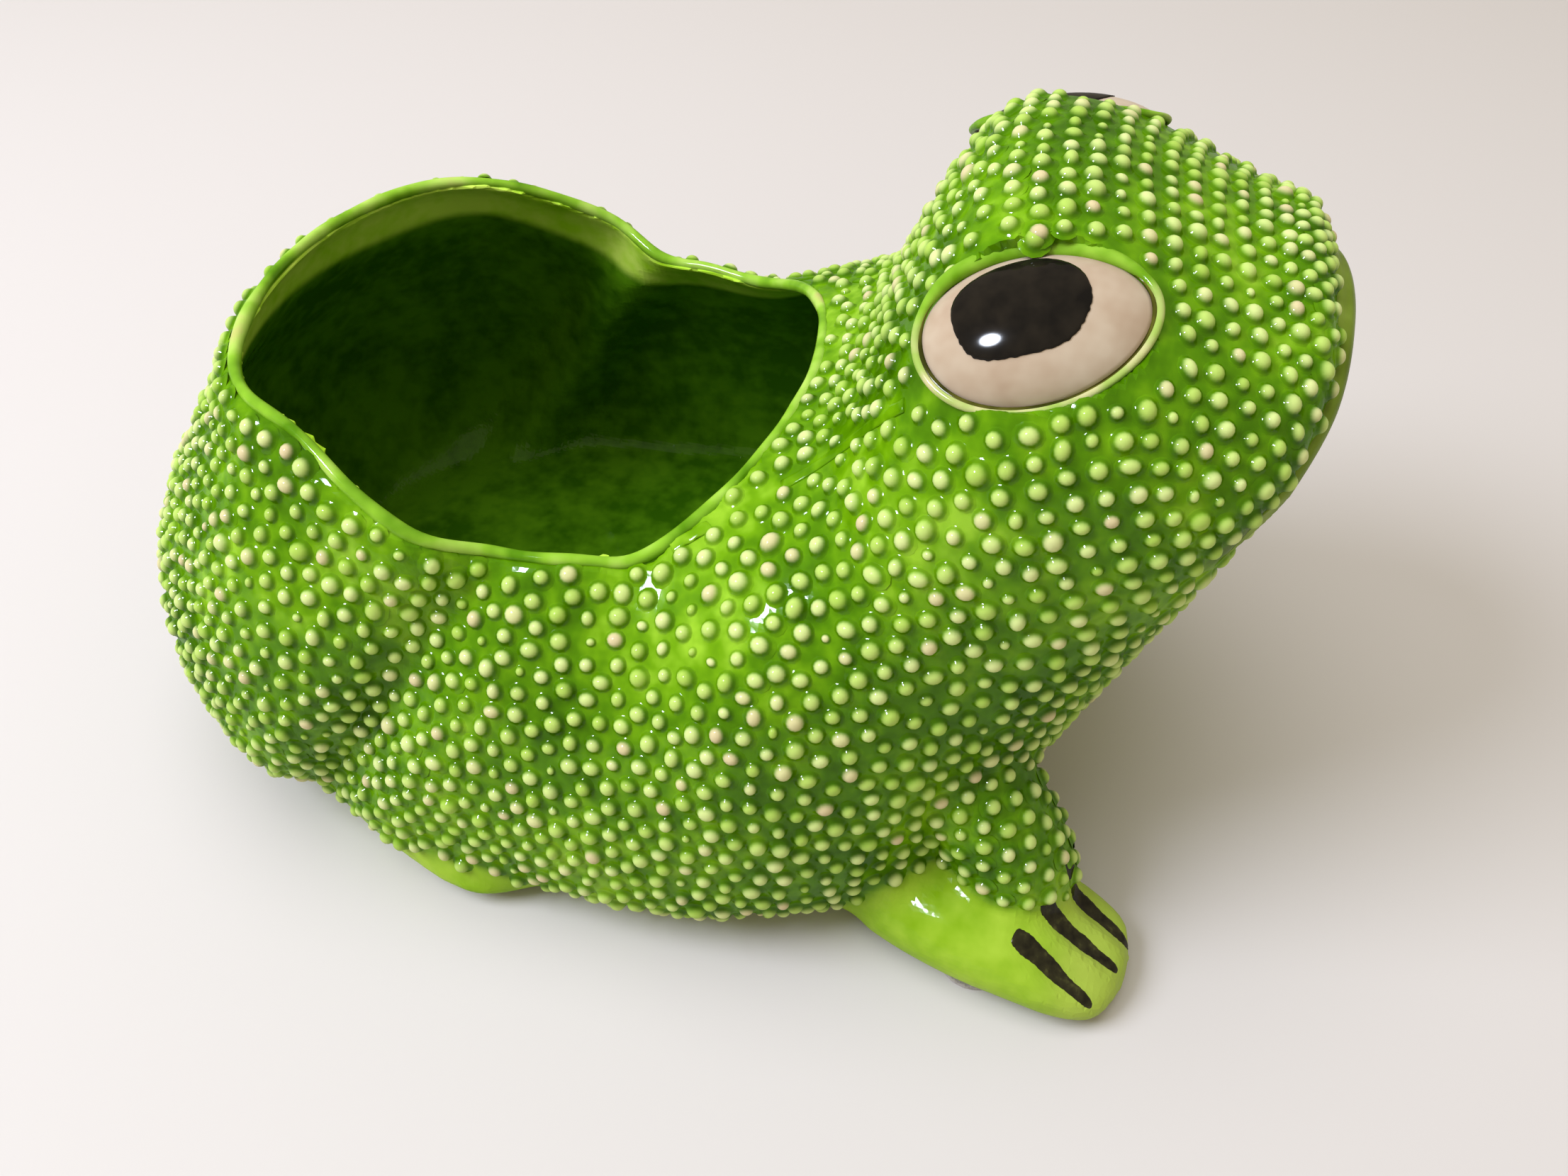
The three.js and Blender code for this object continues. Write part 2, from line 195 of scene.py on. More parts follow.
def loft(place, around, rings):
    """Rings of place(side, up, along), closed with a fan at each end."""
    turn = np.linspace(0, 2 * np.pi, around, endpoint=False)
    along = (1 - np.cos(np.linspace(0, np.pi, rings + 2)[1:-1])) / 2
    along = 0.35 * along + 0.65 * np.linspace(0, 1, rings + 2)[1:-1]
    grid = place(np.cos(turn)[None, :], np.sin(turn)[None, :], along[:, None])
    first = place(np.zeros((1, 1)), np.zeros((1, 1)), np.zeros((1, 1)))[0]
    final = place(np.zeros((1, 1)), np.zeros((1, 1)), np.ones((1, 1)))[0]
    points = np.concatenate([grid.reshape(-1, 3), first, final])
    faces = tube_faces(rings, around)
    start, end = len(points) - 2, len(points) - 1
    top = (rings - 1) * around
    for j in range(around):
        k = (j + 1) % around
        faces.append([start, k, j])
        faces.append([end, top + j, top + k])
    return points, faces


def body_place(side, up, along):
    s = spline(SECTIONS, along + 0 * side)
    belly, back, half, level, crown, keel = s[..., :2], s[..., 2:4], s[..., 4], s[..., 5], s[..., 6], s[..., 7]
    power = np.where(up > 0, crown, keel)
    rise = np.abs(up) ** power
    spread = np.sign(side) * np.abs(side) ** power
    widest = belly + (back - belly) * level[..., None]
    middle = widest + (np.where((up > 0)[..., None], back, belly) - widest) * rise[..., None]
    run = CREASE[1] - CREASE[0]
    reach = middle - CREASE[0]
    off = (run[0] * reach[..., 1] - run[1] * reach[..., 0]) / np.hypot(*run)
    half = np.maximum(half - CREASE_DEPTH * np.exp(-((off / CREASE_WIDTH) ** 2)), 0)
    return np.stack([half * spread, middle[..., 0], middle[..., 1]], -1)


def limb_place(stops, flatten=None):
    stops = np.asarray(stops, float)

    def place(side, up, along):
        t = along + 0 * side
        at = spline(stops, t)
        step = 1e-3
        travel = spline(stops[:, :3], np.clip(t + step, 0, 1)) - spline(stops[:, :3], np.clip(t - step, 0, 1))
        travel /= np.linalg.norm(travel, axis=-1, keepdims=True)
        across = np.cross(np.array([0.0, 0, 1]), travel)
        across /= np.linalg.norm(across, axis=-1, keepdims=True)
        over = np.cross(travel, across)
        lift = up * (flatten(side, up, t) if flatten else 1)
        wide = np.maximum(at[..., 3], 0)
        high = np.maximum(at[..., 4], 0)
        return at[..., :3] + across * (wide * side)[..., None] + over * (high * lift)[..., None]

    return place


def toe_lift(side, up, along):
    fade = smoothstep(along, 0.5, 0.7)
    cut = sum(np.exp(-(((side - at) / 0.16) ** 2)) for at in TOE_GROOVES)
    return np.where(up > 0, 1 - 0.5 * fade * cut, 1.0)


def applied(made, kind, **settings):
    """The object's mesh with one modifier applied to it."""
    modifier = made.modifiers.new(kind, kind)
    for key, value in settings.items():
        setattr(modifier, key, value)
    graph = bpy.context.evaluated_depsgraph_get()
    mesh = bpy.data.meshes.new_from_object(made.evaluated_get(graph))
    made.modifiers.clear()
    made.data = mesh
    return made


def vertices(made):
    """The object's vertices in millimetres."""
    co = np.empty(len(made.data.vertices) * 3, np.float32)
    made.data.vertices.foreach_get("co", co)
    return co.reshape(-1, 3).astype(float) / MM


def normals(made):
    n = np.empty(len(made.data.vertices) * 3, np.float32)
    made.data.vertices.foreach_get("normal", n)
    return n.reshape(-1, 3).astype(float)


def set_vertices(made, points):
    made.data.vertices.foreach_set("co", (points * MM).astype(np.float32).ravel())
    made.data.update()


def note(made, name, values):
    """Keeps a number for each vertex, for the materials to read."""
    made.data.attributes.new(name, "FLOAT", "POINT").data.foreach_set("value", np.asarray(values, np.float32))


def tree_of(made):
    return BVHTree.FromPolygons(
        [v.co / MM for v in made.data.vertices], [tuple(p.vertices) for p in made.data.polygons]
    )


def drop(made):
    bpy.data.objects.remove(made, do_unlink=True)


def both_sides(points):
    return np.asarray(points, float) * [-1, 1, 1]


# The tables are moved back until their tail end meets that of the CAD's pot_body.
body_points, body_faces = loft(body_place, 192, 170)
SHIFT = np.array([0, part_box("pot_body")[1].y / MM - body_points[:, 1].max(), 0])


# ---- The cast skin: one continuous clay body, wet-sponged smooth where its parts meet ----
def clamp_base(points):
    """Flattens whatever hangs below the base."""
    points[:, 2] = np.maximum(points[:, 2], BASE)
    return points


def cast_skin():
    parts = [(clamp_base(body_points.copy()), body_faces)]
    limbs = ((FORELEG, 48, 44, None), (FOREFOOT, 96, 80, toe_lift), (HINDFOOT, 56, 50, None))
    for stops, around, rings, lift in limbs:
        points, faces = loft(limb_place(stops, lift), around, rings)
        points = clamp_base(points)
        parts.append((points, faces))
        parts.append((both_sides(points), [f[::-1] for f in faces]))
    points, faces, start = [], [], 0
    for part, part_faces in parts:
        points.append(part)
        faces += [[start + i for i in f] for f in part_faces]
        start += len(part)
    skin = mesh_object("frog_skin", np.concatenate(points), faces)
    applied(skin, "REMESH", mode="VOXEL", voxel_size=CLAY_VOXEL * MM)
    applied(skin, "SMOOTH", factor=0.5, iterations=7)
    return skin


def rim_height(y):
    line = spline(RIM_SIDE, np.linspace(0, 1, 400))
    return np.interp(y, line[:, 0], line[:, 1])


def rim_half_width(y):
    line = spline(RIM_PLAN, np.linspace(0, 1, 400))
    return np.interp(y, line[:, 1], line[:, 0], left=0)


def hollow_cutter():
    points, faces = loft(body_place, 112, 100)
    cutter = mesh_object("hollow", points, faces)
    depth = WALL + 4 * smoothstep(-points[:, 1], 5, 35)
    inner = points - normals(cutter) * depth[:, None]
    inner[:, 2] = np.maximum(inner[:, 2], FLOOR)
    set_vertices(cutter, inner)
    return cutter


def opening_cutter():
    rows = np.linspace(-7.9, 172, 180)
    points = []
    for y in rows:
        wide, low = max(rim_half_width(y) + RIM_ROUND, 0.5), rim_height(y) - RIM_ROUND
        points += [[-wide, y, low], [-wide, y, 240], [wide, y, 240], [wide, y, low]]
    faces = tube_faces(len(rows), 4)
    end = len(points) - 4
    faces += [[0, 1, 2, 3][::-1], [end, end + 1, end + 2, end + 3]]
    return mesh_object("opening", points, faces)


skin = cast_skin()
outer_form = mesh_object("outer_form", body_points, body_faces)
hollow = hollow_cutter()
opening = opening_cutter()
for cutter in (hollow, opening):
    applied(skin, "BOOLEAN", operation="DIFFERENCE", object=cutter, solver="MANIFOLD")
applied(skin, "REMESH", mode="VOXEL", voxel_size=SKIN_VOXEL * MM)
applied(skin, "SMOOTH", factor=0.5, iterations=5)
drop(opening)
drop(hollow)


# ---- Rim ----
def tree_from_points(points):
    tree = KDTree(len(points))
    for i, p in enumerate(points):
        tree.insert(Vector(p), i)
    tree.balance()
    return tree


def distance_to(points, targets):
    tree = tree_from_points(targets)
    return np.array([tree.find(Vector(p))[2] for p in points])


def rim_loop(count):
    """The rim's outer edge: out from the opening's middle until the skin drops to the rim, or the plan ends."""
    form = BVHTree.FromPolygons([Vector(p) for p in body_points], [tuple(f) for f in body_faces])
    edge, out = [], []
    for turn in np.linspace(0, 2 * np.pi, count, endpoint=False):
        heading = np.array([np.cos(turn), np.sin(turn)])
        low, high = 0.0, 110.0
        for _ in range(26):
            middle = (low + high) / 2
            x, y = heading * middle + [0, 48]
            hit = form.ray_cast(Vector((x, y, 300)), Vector((0, 0, -1)))
            within = hit[0] is not None and hit[0].z > rim_height(y) and abs(x) < rim_half_width(y)
            low, high = (middle, high) if within else (low, middle)
        x, y = heading * low + [0, 48]
        hit = form.ray_cast(Vector((x, y, 300)), Vector((0, 0, -1)))
        edge.append(list(hit[0]))
        out.append(list(hit[1]))
    edge, out = np.array(edge), np.array(out)
    for _ in range(10):
        edge = edge * 0.5 + (np.roll(edge, 1, 0) + np.roll(edge, -1, 0)) * 0.25
        out = out * 0.5 + (np.roll(out, 1, 0) + np.roll(out, -1, 0)) * 0.25
    return edge, out / np.linalg.norm(out, axis=1, keepdims=True)


rim_edge, rim_out = rim_loop(RIM_STEPS)


def signed_depth(points, tree):
    """How far each point is outside a closed form, less than 0 inside it."""
    out = np.empty(len(points))
    for i, p in enumerate(points):
        hit, normal, _, distance = tree.find_nearest(Vector(p))
        out[i] = distance * (1 if (Vector(p) - hit).dot(normal) > 0 else -1)
    return out


def flared(points, reach):
    """The rear of the rim leans out, which shows its inside."""
    heading = points[:, :2] - [0, 60]
    heading /= np.linalg.norm(heading, axis=1, keepdims=True)
    lean = FLARE * (1 - smoothstep(reach, 0, FLARE_DEPTH)) * smoothstep(points[:, 1], 36, 62)
    return np.concatenate([points[:, :2] + heading * lean[:, None], points[:, 2:]], 1)


outer_tree = tree_of(outer_form)
body_depth = signed_depth(vertices(skin), outer_tree)
drop(outer_form)
set_vertices(skin, flared(vertices(skin), distance_to(vertices(skin), rim_edge)))
rim_edge = flared(rim_edge, np.zeros(len(rim_edge)))


# ---- The eyes' frame ----
def unit(v):
    v = np.asarray(v, float)
    return v / np.linalg.norm(v)


EYE_W = unit(EYE_OUT)
EYE_U = unit(np.asarray(EYE_ALONG, float) - np.dot(EYE_ALONG, EYE_W) * EYE_W)
EYE_V = np.cross(EYE_W, EYE_U)


def to_eye(points, side):
    """Points in the eye's frame: along it, down over it, and out of it."""
    local = points * [side, 1, 1] - np.asarray(EYE_AT, float)
    return local @ np.stack([EYE_U, EYE_V, EYE_W], 1)


def from_eye(local, side):
    points = np.asarray(EYE_AT, float) + np.asarray(local, float) @ np.stack([EYE_U, EYE_V, EYE_W])
    return points * [side, 1, 1]


def outline_reach(local):
    """How far out a point is, where 1 is the eye's outline."""
    return np.hypot(local[:, 0] / EYE_HALF[0], local[:, 1] / EYE_HALF[1])


def seat_eyes():
    points = vertices(skin)
    for side in (1, -1):
        local = to_eye(points, side)
        reach = outline_reach(local)
        near = (reach < 1.6) & (np.abs(local[:, 2]) < 16)
        seat = -1.2 + 9 * smoothstep(reach, 0.98, 1.32)
        local[:, 2] = np.where(near, np.minimum(local[:, 2], seat), local[:, 2])
        points[near] = from_eye(local[near], side)
    set_vertices(skin, points)


seat_eyes()
skin_points = vertices(skin)
skin_normals = normals(skin)
skin_tree = tree_of(skin)


# ---- Where the beads may go ----
def limb_depth(points, stops, flatten=None):
    """Distance outside a left limb, for points folded to the left side."""
    form_points, faces = loft(limb_place(stops, flatten), 40, 40)
    tree = BVHTree.FromPolygons([Vector(p) for p in form_points], [tuple(f) for f in faces])
    folded = np.abs(points[:, :1])
    folded = np.concatenate([folded, points[:, 1:]], 1)
    return signed_depth(folded, tree)


folded = np.concatenate([np.abs(skin_points[:, :1]), skin_points[:, 1:]], 1)
rim_reach = distance_to(skin_points, rim_edge)
seam_line = spline(SEAM, np.linspace(0, 1, 60))
seam_reach = distance_to(folded, seam_line)
lip_line = spline(LOWER_LIP, np.linspace(0, 1, 80))[:, :3]
lip_reach = distance_to(folded, np.concatenate([lip_line, lip_line[-1:] * [0.5, 1, 1], lip_line[-1:] * [0, 1, 1]]))
eye_reach = np.where(np.abs(to_eye(folded, 1)[:, 2]) > 20, 9, outline_reach(to_eye(folded, 1)))
forefoot_reach = limb_depth(skin_points, FOREFOOT)
hindfoot_reach = limb_depth(skin_points, HINDFOOT)
inside = smoothstep(-body_depth, 1.0, 2.2) * (skin_points[:, 2] > BASE + 2)
foot_share = 1 - smoothstep(np.minimum(forefoot_reach, hindfoot_reach + 0.5), 0.2, 3.0)
foot_share = np.maximum(foot_share, 1 - smoothstep(skin_points[:, 2], 5, 9))

# Wet clay was sponged into the corners between the body and the feet.
web = (1 - smoothstep(np.abs(body_depth), 3, 9)) * (inside < 0.1) * (skin_points[:, 2] > BASE + 0.5)
web *= 1 - smoothstep(np.minimum(np.abs(forefoot_reach), np.abs(hindfoot_reach)), 3, 9)
edges = np.array([e.vertices[:] for e in skin.data.edges])
ends = np.concatenate([edges, edges[:, ::-1]])
count = np.bincount(ends[:, 0], minlength=len(skin_points))
for _ in range(SPONGE_ROUNDS):
    total = np.stack([np.bincount(ends[:, 0], skin_points[ends[:, 1], k], len(skin_points)) for k in range(3)], -1)
    skin_points = skin_points + (0.6 * web)[:, None] * (total / count[:, None] - skin_points)
set_vertices(skin, skin_points)
skin_normals = normals(skin)
skin_tree = tree_of(skin)

beadable = (
    (body_depth > -0.9)
    & (inside < 0.1)
    & (rim_reach > np.where(skin_points[:, 1] > 40, 3.4, 2.8))
    & (seam_reach > 2.6)
    & (lip_reach > np.where(skin_points[:, 2] > 104, 6.4, 1.5))
    & (eye_reach > 1.22)
    & (foot_share < 0.35)
    & (skin_points[:, 2] > 7.5)
)


def seed_beads(first):
    """Points scattered over the beadable skin, no two closer than most of a pitch."""
    faces = np.array([list(p.vertices)[:3] for p in skin.data.polygons])
    allowed = beadable[faces].all(1)
    faces = faces[allowed]
    a, b, c = (skin_points[faces[:, k]] for k in range(3))
    area = np.linalg.norm(np.cross(b - a, c - a), axis=1)
    pick = chance.choice(len(faces), BEAD_TRIES, p=area / area.sum())
    s, t = chance.random(BEAD_TRIES), chance.random(BEAD_TRIES)
    points = a[pick] + (b[pick] - a[pick]) * s[:, None] * 0.7 + (c[pick] - a[pick]) * t[:, None] * 0.7
    cell = BEAD_PITCH * 0.82
    kept, grid = [], {}
    for p in first:
        grid.setdefault(tuple((p // cell).astype(int)), []).append(p)
    for p in points:
        key = tuple((p // cell).astype(int))
        near = [
            q
            for dx in (-1, 0, 1)
            for dy in (-1, 0, 1)
            for dz in (-1, 0, 1)
            for q in grid.get((key[0] + dx, key[1] + dy, key[2] + dz), ())
        ]
        if all((p[0] - q[0]) ** 2 + (p[1] - q[1]) ** 2 + (p[2] - q[2]) ** 2 > cell * cell for q in near):
            grid.setdefault(key, []).append(p)
            kept.append(p)
    return np.concatenate([first, kept])


def snout_rows():
    """Bead places in neat rows round the snout, parallel to the mouth."""
    line = body_place(np.full(400, 0.7), np.full(400, 0.7), np.linspace(0.7, 0.985, 400))
    reach = np.concatenate([[0], np.cumsum(np.linalg.norm(np.diff(line, axis=0), axis=1))])
    rows = np.interp(np.arange(0, reach[-1], BEAD_PITCH), reach, np.linspace(0.7, 0.985, 400))
    turn = np.linspace(-0.35, np.pi + 0.35, 900)
    points = []
    for number, along in enumerate(rows):
        ring = body_place(np.cos(turn), np.sin(turn), np.full(900, along))
        reach = np.concatenate([[0], np.cumsum(np.linalg.norm(np.diff(ring, axis=0), axis=1))])
        marks = np.arange((number % 2) * BEAD_PITCH / 2, reach[-1], BEAD_PITCH)
        points.append(np.stack([np.interp(marks, reach, ring[:, k]) for k in range(3)], -1))
    points = np.concatenate(points) + chance.normal(0, 0.22, (sum(map(len, points)), 3))
    where, _, face = nearest_skin(points)
    corner = np.array([skin.data.polygons[int(f)].vertices[0] for f in face])
    return where[beadable[corner]]


def nearest_skin(points):
    """For each point, the nearest place on the skin, the way out there, and the face."""
    where, facing, face = [], [], []
    for p in points:
        hit, normal, index, _ = skin_tree.find_nearest(Vector(p))
        where.append(hit)
        facing.append(normal)
        face.append(index)
    return np.array(where), np.array(facing), np.array(face)


def push_apart(points, fixed, rounds):
    """Evens out the spacing over the skin. The first few points, the rows, stay where they are."""
    corner = np.array([p.vertices[0] for p in skin.data.polygons])
    for _ in range(rounds):
        tree = tree_from_points(points)
        step = np.zeros_like(points)
        for i, p in enumerate(points):
            for q, j, d in tree.find_range(Vector(p), BEAD_PITCH * 1.25):
                if j != i:
                    step[i] += (p - np.array(q)) / max(d, 0.1) * (BEAD_PITCH * 1.25 - d) * 0.22
        moved, _, face = nearest_skin(points + step)
        stays = beadable[corner[face]] & (np.arange(len(points)) >= fixed)
        points = np.where(stays[:, None], moved, points)
    return points


rows = snout_rows()
bead_points = push_apart(seed_beads(rows), len(rows), 6)
bead_points, _, bead_face = nearest_skin(bead_points)
bead_vertex = np.array([p.vertices[0] for p in skin.data.polygons])[bead_face]
bead_normal = skin_normals[bead_vertex]

# Half the profile of a bead, as shares of its radius and height, from its flared foot to its crown.
BEAD_PROFILE = [(1.75, -0.14), (1.38, 0.02), (1.14, 0.17), (0.98, 0.4), (0.8, 0.68), (0.52, 0.89), (0.25, 0.98)]
BEAD_SIDES = 12


def bead_piece(name, chosen):
    """One object that holds the chosen beads."""
    profile = np.array(BEAD_PROFILE)
    turn = np.linspace(0, 2 * np.pi, BEAD_SIDES, endpoint=False)
    ring = np.stack([np.cos(turn), np.sin(turn)], -1)
    flat = ring[None] * profile[:, None, :1]
    level = np.broadcast_to(profile[:, None, 1:], (len(profile), BEAD_SIDES, 1))
    local = np.concatenate([np.concatenate([flat, level], -1).reshape(-1, 3), [[0, 0, 1.0]]])
    faces = tube_faces(len(profile), BEAD_SIDES)
    top = (len(profile) - 1) * BEAD_SIDES
    caps = [[top + j, top + (j + 1) % BEAD_SIDES, len(local) - 1] for j in range(BEAD_SIDES)]
    count = len(chosen)
    n = bead_normal[chosen]
    n /= np.linalg.norm(n, axis=1, keepdims=True)
    helper = np.where(np.abs(n[:, 2:]) < 0.9, [[0, 0, 1.0]], [[1.0, 0, 0]])
    u = np.cross(helper, n)
    u /= np.linalg.norm(u, axis=1, keepdims=True)
    v = np.cross(n, u)
    radius = bead_radius[chosen][:, None, None]
    height = bead_height[chosen][:, None, None]
    stretch = 1 + chance.normal(0, 0.05, (count, 1, 1))
    points = (
        bead_points[chosen][:, None]
        + u[:, None] * local[None, :, :1] * radius * stretch
        + v[:, None] * local[None, :, 1:2] * radius / stretch
        + n[:, None] * local[None, :, 2:] * height
    )
    all_faces = []
    for i in range(count):
        base = i * len(local)
        all_faces += [[base + k for k in f] for f in faces]
        all_faces += [[base + k for k in f] for f in caps]
    made = mesh_object(name, points.reshape(-1, 3) + SHIFT, all_faces)
    note(made, "rise", np.tile(np.clip(local[:, 2], 0, 1), count))
    note(made, "own", np.repeat(chance.random(count), len(local)))
    return made


bead_radius = np.clip(chance.normal(1.66, 0.16, len(bead_points)), 1.1, 2.1)
snout = smoothstep(-bead_points[:, 1], 50, 70) * smoothstep(bead_points[:, 2], 105, 125)
bead_radius *= 1 - 0.1 * snout
small = chance.random(len(bead_points)) < 0.05
bead_radius[small] *= 0.6
throat = smoothstep(-bead_normal[:, 2], 0.15, 0.6) * (bead_points[:, 1] < -60)
bead_height = bead_radius * chance.normal(1.0, 0.07, len(bead_points)) * (1 - 0.6 * throat)


# ---- Materials ----
def linear(code):
    """An sRGB hex colour as a linear RGBA value."""
    parts = [int(code[i : i + 2], 16) / 255 for i in (1, 3, 5)]
    return tuple(c / 12.92 if c <= 0.04045 else ((c + 0.055) / 1.055) ** 2.4 for c in parts) + (1.0,)


def add(tree, kind, links=None, stops=None, **settings):
    """Adds a node, sets it, and gives its inputs values or other nodes' outputs."""
    node = tree.nodes.new("ShaderNode" + kind)
    for key, value in settings.items():
        setattr(node, key, value)
    if stops:
        elements = node.color_ramp.elements
        while len(elements) < len(stops):
            elements.new(0.5)
        for element, (place, colour) in zip(elements, stops):
            element.position = place
            element.color = linear(colour) if isinstance(colour, str) else (colour, colour, colour, 1)
    for key, value in (links or {}).items():
        if isinstance(value, bpy.types.NodeSocket):
            tree.links.new(value, node.inputs[key])
        else:
            node.inputs[key].default_value = value
    return node


def new_material(name):
    material = bpy.data.materials.new(name)
    material.use_nodes = True
    tree = material.node_tree
    tree.nodes.clear()
    shader = add(tree, "BsdfPrincipled")
    add(tree, "OutputMaterial", {"Surface": shader.outputs["BSDF"]})
    return material, tree, shader


def glaze_shader(tree, shader, colour, roughness=0.28):
    tree.links.new(colour, shader.inputs["Base Color"])
    shader.inputs["Roughness"].default_value = roughness
    shader.inputs["IOR"].default_value = 1.5
    shader.inputs["Specular IOR Level"].default_value = 0.0
    shader.inputs["Coat Weight"].default_value = 0.3
    shader.inputs["Coat Roughness"].default_value = 0.09


def green_glaze_material():
    """Green lead glaze over white earthenware, dipped and fired wet-looking. It runs off the beads and leaves them
    pale. It is darker round their feet and in the crease under the lip, where it pools and where shade is painted in.
    Inside the pot it is painted darker, as painted shade, and lighter on a band just below the rim, as painted light."""
    material, tree, shader = new_material("green_glaze_on_earthenware")
    place = add(tree, "TexCoord").outputs["Object"]
    rise = add(tree, "Attribute", attribute_name="rise").outputs["Fac"]
    own = add(tree, "Attribute", attribute_name="own").outputs["Fac"]
    foot = add(tree, "Attribute", attribute_name="foot").outputs["Fac"]
    inner = add(tree, "Attribute", attribute_name="inner").outputs["Fac"]
    crease_pool_and_shade = add(tree, "Attribute", attribute_name="crease_pool_and_shade").outputs["Fac"]
    lit = add(tree, "Attribute", attribute_name="painted_rim_light").outputs["Fac"]
    # Thick and thin glaze in drifts about 30 mm across, with runs about 5 mm across in them.
    drifts = add(tree, "TexNoise", {"Vector": place, "Scale": 32.0, "Detail": 2.0, "Roughness": 0.5}).outputs["Fac"]
    runs = add(tree, "TexNoise", {"Vector": place, "Scale": 190.0, "Detail": 2.0, "Roughness": 0.5}).outputs["Fac"]
    thick = add(tree, "Mix", {0: 0.42, 2: drifts, 3: runs}).outputs[0]
    ground = add(
        tree,
        "ValToRGB",
        {"Fac": thick},
        stops=[(0.34, "#365f00"), (0.46, "#4b7a02"), (0.56, "#649408"), (0.68, "#88b428")],
    ).outputs["Color"]
    lime = add(tree, "ValToRGB", {"Fac": thick}, stops=[(0.35, "#78a012"), (0.65, "#98b934")]).outputs["Color"]
    ground = add(tree, "Mix", {0: foot, 6: ground, 7: lime}, data_type="RGBA").outputs[2]
    toe = add(tree, "Attribute", attribute_name="toe").outputs["Fac"]
    ground = add(tree, "Mix", {0: toe, 6: ground, 7: linear("#a0b04c")}, data_type="RGBA").outputs[2]
    # Glaze that has run down to a bead's foot, and painted shade there, where the bead meets the skin.
    foot_pool_and_shade = add(tree, "ValToRGB", {"Fac": rise}, stops=[(0.0, 0.0), (0.08, 1.0), (0.25, 1.0), (0.55, 0.0)])
    foot_pool_and_shade = add(tree, "Math", {0: foot_pool_and_shade.outputs["Color"], 1: 0.35}, operation="MULTIPLY").outputs[0]
    ground = add(tree, "Mix", {0: foot_pool_and_shade, 6: ground, 7: linear("#2c5200")}, data_type="RGBA").outputs[2]
    crown_stops = [(0.0, "#9dbc4e"), (0.5, "#b2c96c"), (0.85, "#c3d186"), (1.0, "#c6b88c")]
    crown = add(tree, "ValToRGB", {"Fac": own}, stops=crown_stops)
    run_off = add(tree, "Math", {0: rise, 1: runs}, operation="MULTIPLY")
    bare = add(tree, "Mix", {0: 0.5, 2: rise, 3: run_off.outputs[0]}).outputs[0]
    bare_limits = {"Value": bare, "From Min": 0.16, "From Max": 0.72}
    bare = add(tree, "MapRange", bare_limits, interpolation_type="SMOOTHSTEP")
    colour = add(tree, "Mix", {0: bare.outputs[0], 6: ground, 7: crown.outputs["Color"]}, data_type="RGBA").outputs[2]
    # Painted shade inside the pot, lightened to painted light on a band of the inner wall just below the rim.
    inside_shade_and_light = add(tree, "ValToRGB", {"Fac": thick}, stops=[(0.4, "#315e04"), (0.6, "#52830f")]).outputs["Color"]
    painted_rim_light = add(tree, "ValToRGB", {"Fac": thick}, stops=[(0.4, "#9ccc24"), (0.6, "#bfdc58")]).outputs["Color"]
    inside_shade_and_light = add(tree, "Mix", {0: lit, 6: inside_shade_and_light, 7: painted_rim_light}, data_type="RGBA").outputs[2]
    colour = add(tree, "Mix", {0: inner, 6: colour, 7: inside_shade_and_light}, data_type="RGBA").outputs[2]
    # Painted shade in the crease under the lower lip, where glaze also pools.
    colour = add(tree, "Mix", {0: crease_pool_and_shade, 6: colour, 7: linear("#48630c")}, data_type="RGBA").outputs[2]
    glaze_shader(tree, shader, colour)
    # Orange peel in the glaze, about 3 mm across and hardly there.
    peel = add(tree, "TexNoise", {"Vector": place, "Scale": 330.0, "Detail": 1.0}).outputs["Fac"]
    bump = add(tree, "Bump", {"Strength": 0.12, "Distance": 0.0006, "Height": peel})
    tree.links.new(bump.outputs["Normal"], shader.inputs["Normal"])
    tree.links.new(bump.outputs["Normal"], shader.inputs["Coat Normal"])
    return material


green_glaze = green_glaze_material()


def give(made, material):
    made.data.materials.clear()
    made.data.materials.append(material)


# ---- Pieces ----
set_vertices(skin, skin_points + SHIFT)
# The mask of that painted shade and pooled glaze under the lower lip.
lip_crease_pool_and_shade = (1 - smoothstep(lip_reach, 4.0, 6.0)) * (1 - inside) * smoothstep(skin_points[:, 2], 102, 114)
note(skin, "rise", np.zeros(len(skin_points)))
note(skin, "own", np.full(len(skin_points), 0.5))
# The inner mask carries the painted shade inside the pot.
note(skin, "inner", inside)
note(skin, "foot", foot_share * (1 - inside))
note(skin, "toe", 0.6 * foot_share * (1 - inside) * smoothstep(-skin_points[:, 1], 72, 86))
note(skin, "crease_pool_and_shade", lip_crease_pool_and_shade)
# Painted light on the inner wall, within about 16 mm of the rim.
note(skin, "painted_rim_light", 1 - smoothstep(rim_reach, 12, 16))
give(skin, green_glaze)
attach(skin, "root")
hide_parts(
    "pot_body",
    "head",
    "foreleg_left",
    "foreleg_right",
    "forefoot_left",
    "forefoot_right",
    "hindfoot_left",
    "hindfoot_right",
)
order = np.argsort(bead_points[:, 1])
for number, chosen in enumerate(np.array_split(order, 3)):
    beads = bead_piece(f"beads_{number + 1}", chosen)
    give(beads, green_glaze)
    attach(beads, "root")


